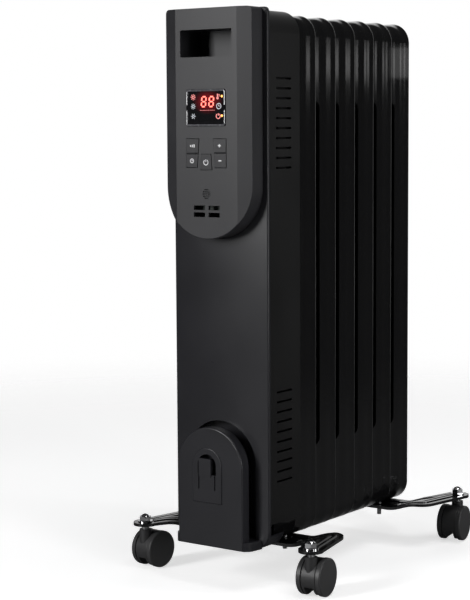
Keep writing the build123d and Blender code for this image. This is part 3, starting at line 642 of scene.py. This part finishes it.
def corner_line(x0, z0, x1, z1, radius, first, last, count=10):
    """The outline between two corners of a rounded rectangle, as straight runs and quarter
    circles; first and last say which of its four corners are rounded on the way."""
    centres = [(x1 - radius, z1 - radius), (x0 + radius, z1 - radius), (x0 + radius, z0 + radius), (x1 - radius, z0 + radius)]
    bits = []
    for k in range(first, last):
        turn = np.radians(np.linspace(90 * k, 90 * k + 90, count))
        bits.append(np.stack([centres[k][0] + radius * np.cos(turn), centres[k][1] + radius * np.sin(turn)], 1))
    return np.concatenate(bits)


inset = 1.2 * mm
notch = 3.0 * mm
x0, x1 = window_low.x + inset, window_high.x - inset
z0, z1 = window_low.z + inset, window_high.z - inset
upper = corner_line(x0, z0, x1, z1, 2.2 * mm, 0, 2)
lower = corner_line(x0, z0, x1, z1, 2.2 * mm, 2, 4)
middle_z = (z0 + z1) / 2
upper = np.concatenate([[[x1, middle_z + notch]], upper, [[x0, middle_z + notch]]])
lower = np.concatenate([[[x0, middle_z - notch]], lower, [[x1, middle_z - notch]]])
clear, tree, shader = new_finish("clear_frame", IOR=1.5, Coat_Weight=0.6, Coat_Roughness=0.03)
place = put(tree, "ShaderNodeTexCoord").outputs["Object"]
cloud = noise(tree, place, 240.0)
tree.links.new(tint(tree, cloud, (0.055, 0.055, 0.062), (0.11, 0.11, 0.12)), shader.inputs["Base Color"])
tree.links.new(ramp(tree, cloud, 0.3, 0.7, 0.16, 0.30), shader.inputs["Roughness"])
beads = [arch_strip(line, 2.2 * mm, 0.5 * mm, window_face) for line in (upper, lower)]
mesh_piece("window_frame", beads, "radiator", clear)
print("frame beads", len(beads))

# %% [markdown]
# The buttons carry plain signs in place of words: three bars for the mode, a clock for the
# timer, the standby ring, a plus and a minus.  Each rides on its own button.

# %% Signs on the buttons


def button_place(name):
    """Middle of a button's face, and the depth of that face."""
    low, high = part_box(name)
    return (low.x + high.x) / 2, (low.z + high.z) / 2, low.y


def bar(x, z, length, width, face_y, upright=False):
    """A short straight strip, level or upright, centred on (x, z)."""
    run = np.linspace(-length / 2, length / 2, 3)
    level = np.zeros(3)
    return strip(x + (level if upright else run), z + (run if upright else level), width, face_y)


x, z, y = button_place("button_mode")
mode_bars = [bar(x + (k - 1) * 2.4 * mm, z, (1.9 + k * 0.8) * mm, 1.35 * mm, y, upright=True) for k in range(3)]
mesh_piece("sign_mode", mode_bars, "button_mode", white_ink)
x, z, y = button_place("button_timer")
mesh_piece("sign_timer", clock(x, z, 2.2 * mm, 0.8 * mm, y), "button_timer", white_ink)
x, z, y = button_place("button_power")
mesh_piece("sign_power", standby(x, z - 0.3 * mm, 2.9 * mm, 0.85 * mm, y), "button_power", white_ink)
x, z, y = button_place("button_plus")
plus = [bar(x, z, 3.8 * mm, 1.2 * mm, y), bar(x, z + 1.2 * mm, 1.2 * mm, 1.2 * mm, y, True), bar(x, z - 1.2 * mm, 1.2 * mm, 1.2 * mm, y, True)]
mesh_piece("sign_plus", plus, "button_plus", white_ink)
x, z, y = button_place("button_minus")
mesh_piece("sign_minus", [bar(x, z, 3.8 * mm, 1.2 * mm, y)], "button_minus", white_ink)
print("button signs", 5)

# %% [markdown]
# ## Threads
# The legs of the U-bolts end in a thread below the base plates.  A thread is a tube whose
# radius rises and falls as the angle and the height go round together.

# %% Threads


def thread(x, y, bottom, top, core, crest, pitch, around=16, per_turn=8):
    """A threaded rod end.  The radius at angle a and height h lies between core and crest
    by a triangle wave of (h / pitch - a / 2 pi)."""
    rows = int((top - bottom) / pitch * per_turn) + 1
    h, a = np.meshgrid(np.linspace(bottom, top, rows), np.linspace(0, 2 * math.pi, around, endpoint=False), indexing="ij")
    phase = (h / pitch - a / (2 * math.pi)) % 1.0
    radius = core + (crest - core) * (1 - np.abs(2 * phase - 1))
    points = np.stack([x + radius * np.cos(a), y + radius * np.sin(a), h], -1).reshape(-1, 3)
    return points, grid_faces(rows, around)


bolt_low, bolt_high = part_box("u_bolts")
rod = 2.5 * mm
legs = [(x, y) for x in (bolt_low.x + rod, bolt_high.x - rod) for y in (bolt_low.y + rod, bolt_high.y - rod)]
threads = [thread(x, y, bolt_low.z - 0.2 * mm, bolt_low.z + 14 * mm, 2.45 * mm, 2.75 * mm, 0.9 * mm) for x, y in legs]
mesh_piece("bolt_threads", threads, "radiator", finishes["zinc_steel"])
print("threads", len(threads))

# %% [markdown]
# ## Floor
# The floor is a pale disc that fades out into the white room.  In reflections it is bright
# only behind the heater, like the wall, so that the line down each fold runs to its foot.

# %% Floor
floor_mesh = bpy.data.meshes.new("floor")
turn = np.linspace(0, 2 * math.pi, 96, endpoint=False)
rim = np.stack([6 * np.cos(turn), 6 * np.sin(turn), np.full_like(turn, -0.0005)], 1)
floor_mesh.from_pydata(rim.tolist(), [], [list(range(96))])
floor = bpy.data.objects.new("floor", floor_mesh)
bpy.context.scene.collection.objects.link(floor)
pale, tree, shader = new_finish("pale_floor", Roughness=0.6)
place = put(tree, "ShaderNodeTexCoord").outputs["Object"]
reflected = put(tree, "ShaderNodeLightPath").outputs["Is Glossy Ray"]
pale_tone = tint(tree, noise(tree, place, 3.0), (0.80, 0.80, 0.81), (0.84, 0.84, 0.84))
towards = put(tree, "ShaderNodeVectorMath", {0: place}, operation="NORMALIZE").outputs["Vector"]
towards = put(tree, "ShaderNodeSeparateXYZ", {0: towards}).outputs
turned = sums(tree, "ADD", towards["Y"], sums(tree, "MULTIPLY", towards["X"], -0.25))
mirrored = tint(tree, ramp(tree, turned, 0.80, 0.93), (0.12, 0.12, 0.12), (0.85, 0.85, 0.85))
shown = put(tree, "ShaderNodeMix", {0: reflected, 6: pale_tone, 7: mirrored}, data_type="RGBA")
tree.links.new(shown.outputs[2], shader.inputs["Base Color"])
looked_at = put(tree, "ShaderNodeLightPath").outputs["Is Camera Ray"]
tree.links.new(sums(tree, "MULTIPLY", looked_at, 0.62), shader.inputs["Emission Strength"])
shader.inputs["Emission Color"].default_value = (1, 1, 1, 1)
reach = put(tree, "ShaderNodeVectorMath", {0: place}, operation="LENGTH").outputs["Value"]
fade = ramp(tree, reach, 0.7, 1.9)
clear_bsdf = put(tree, "ShaderNodeBsdfTransparent")
blend = put(tree, "ShaderNodeMixShader", {0: fade, 1: shader.outputs[0], 2: clear_bsdf.outputs[0]})
tree.links.new(blend.outputs[0], tree.nodes["Material Output"].inputs["Surface"])
floor_mesh.materials.append(pale)
print("floor radius", 6)
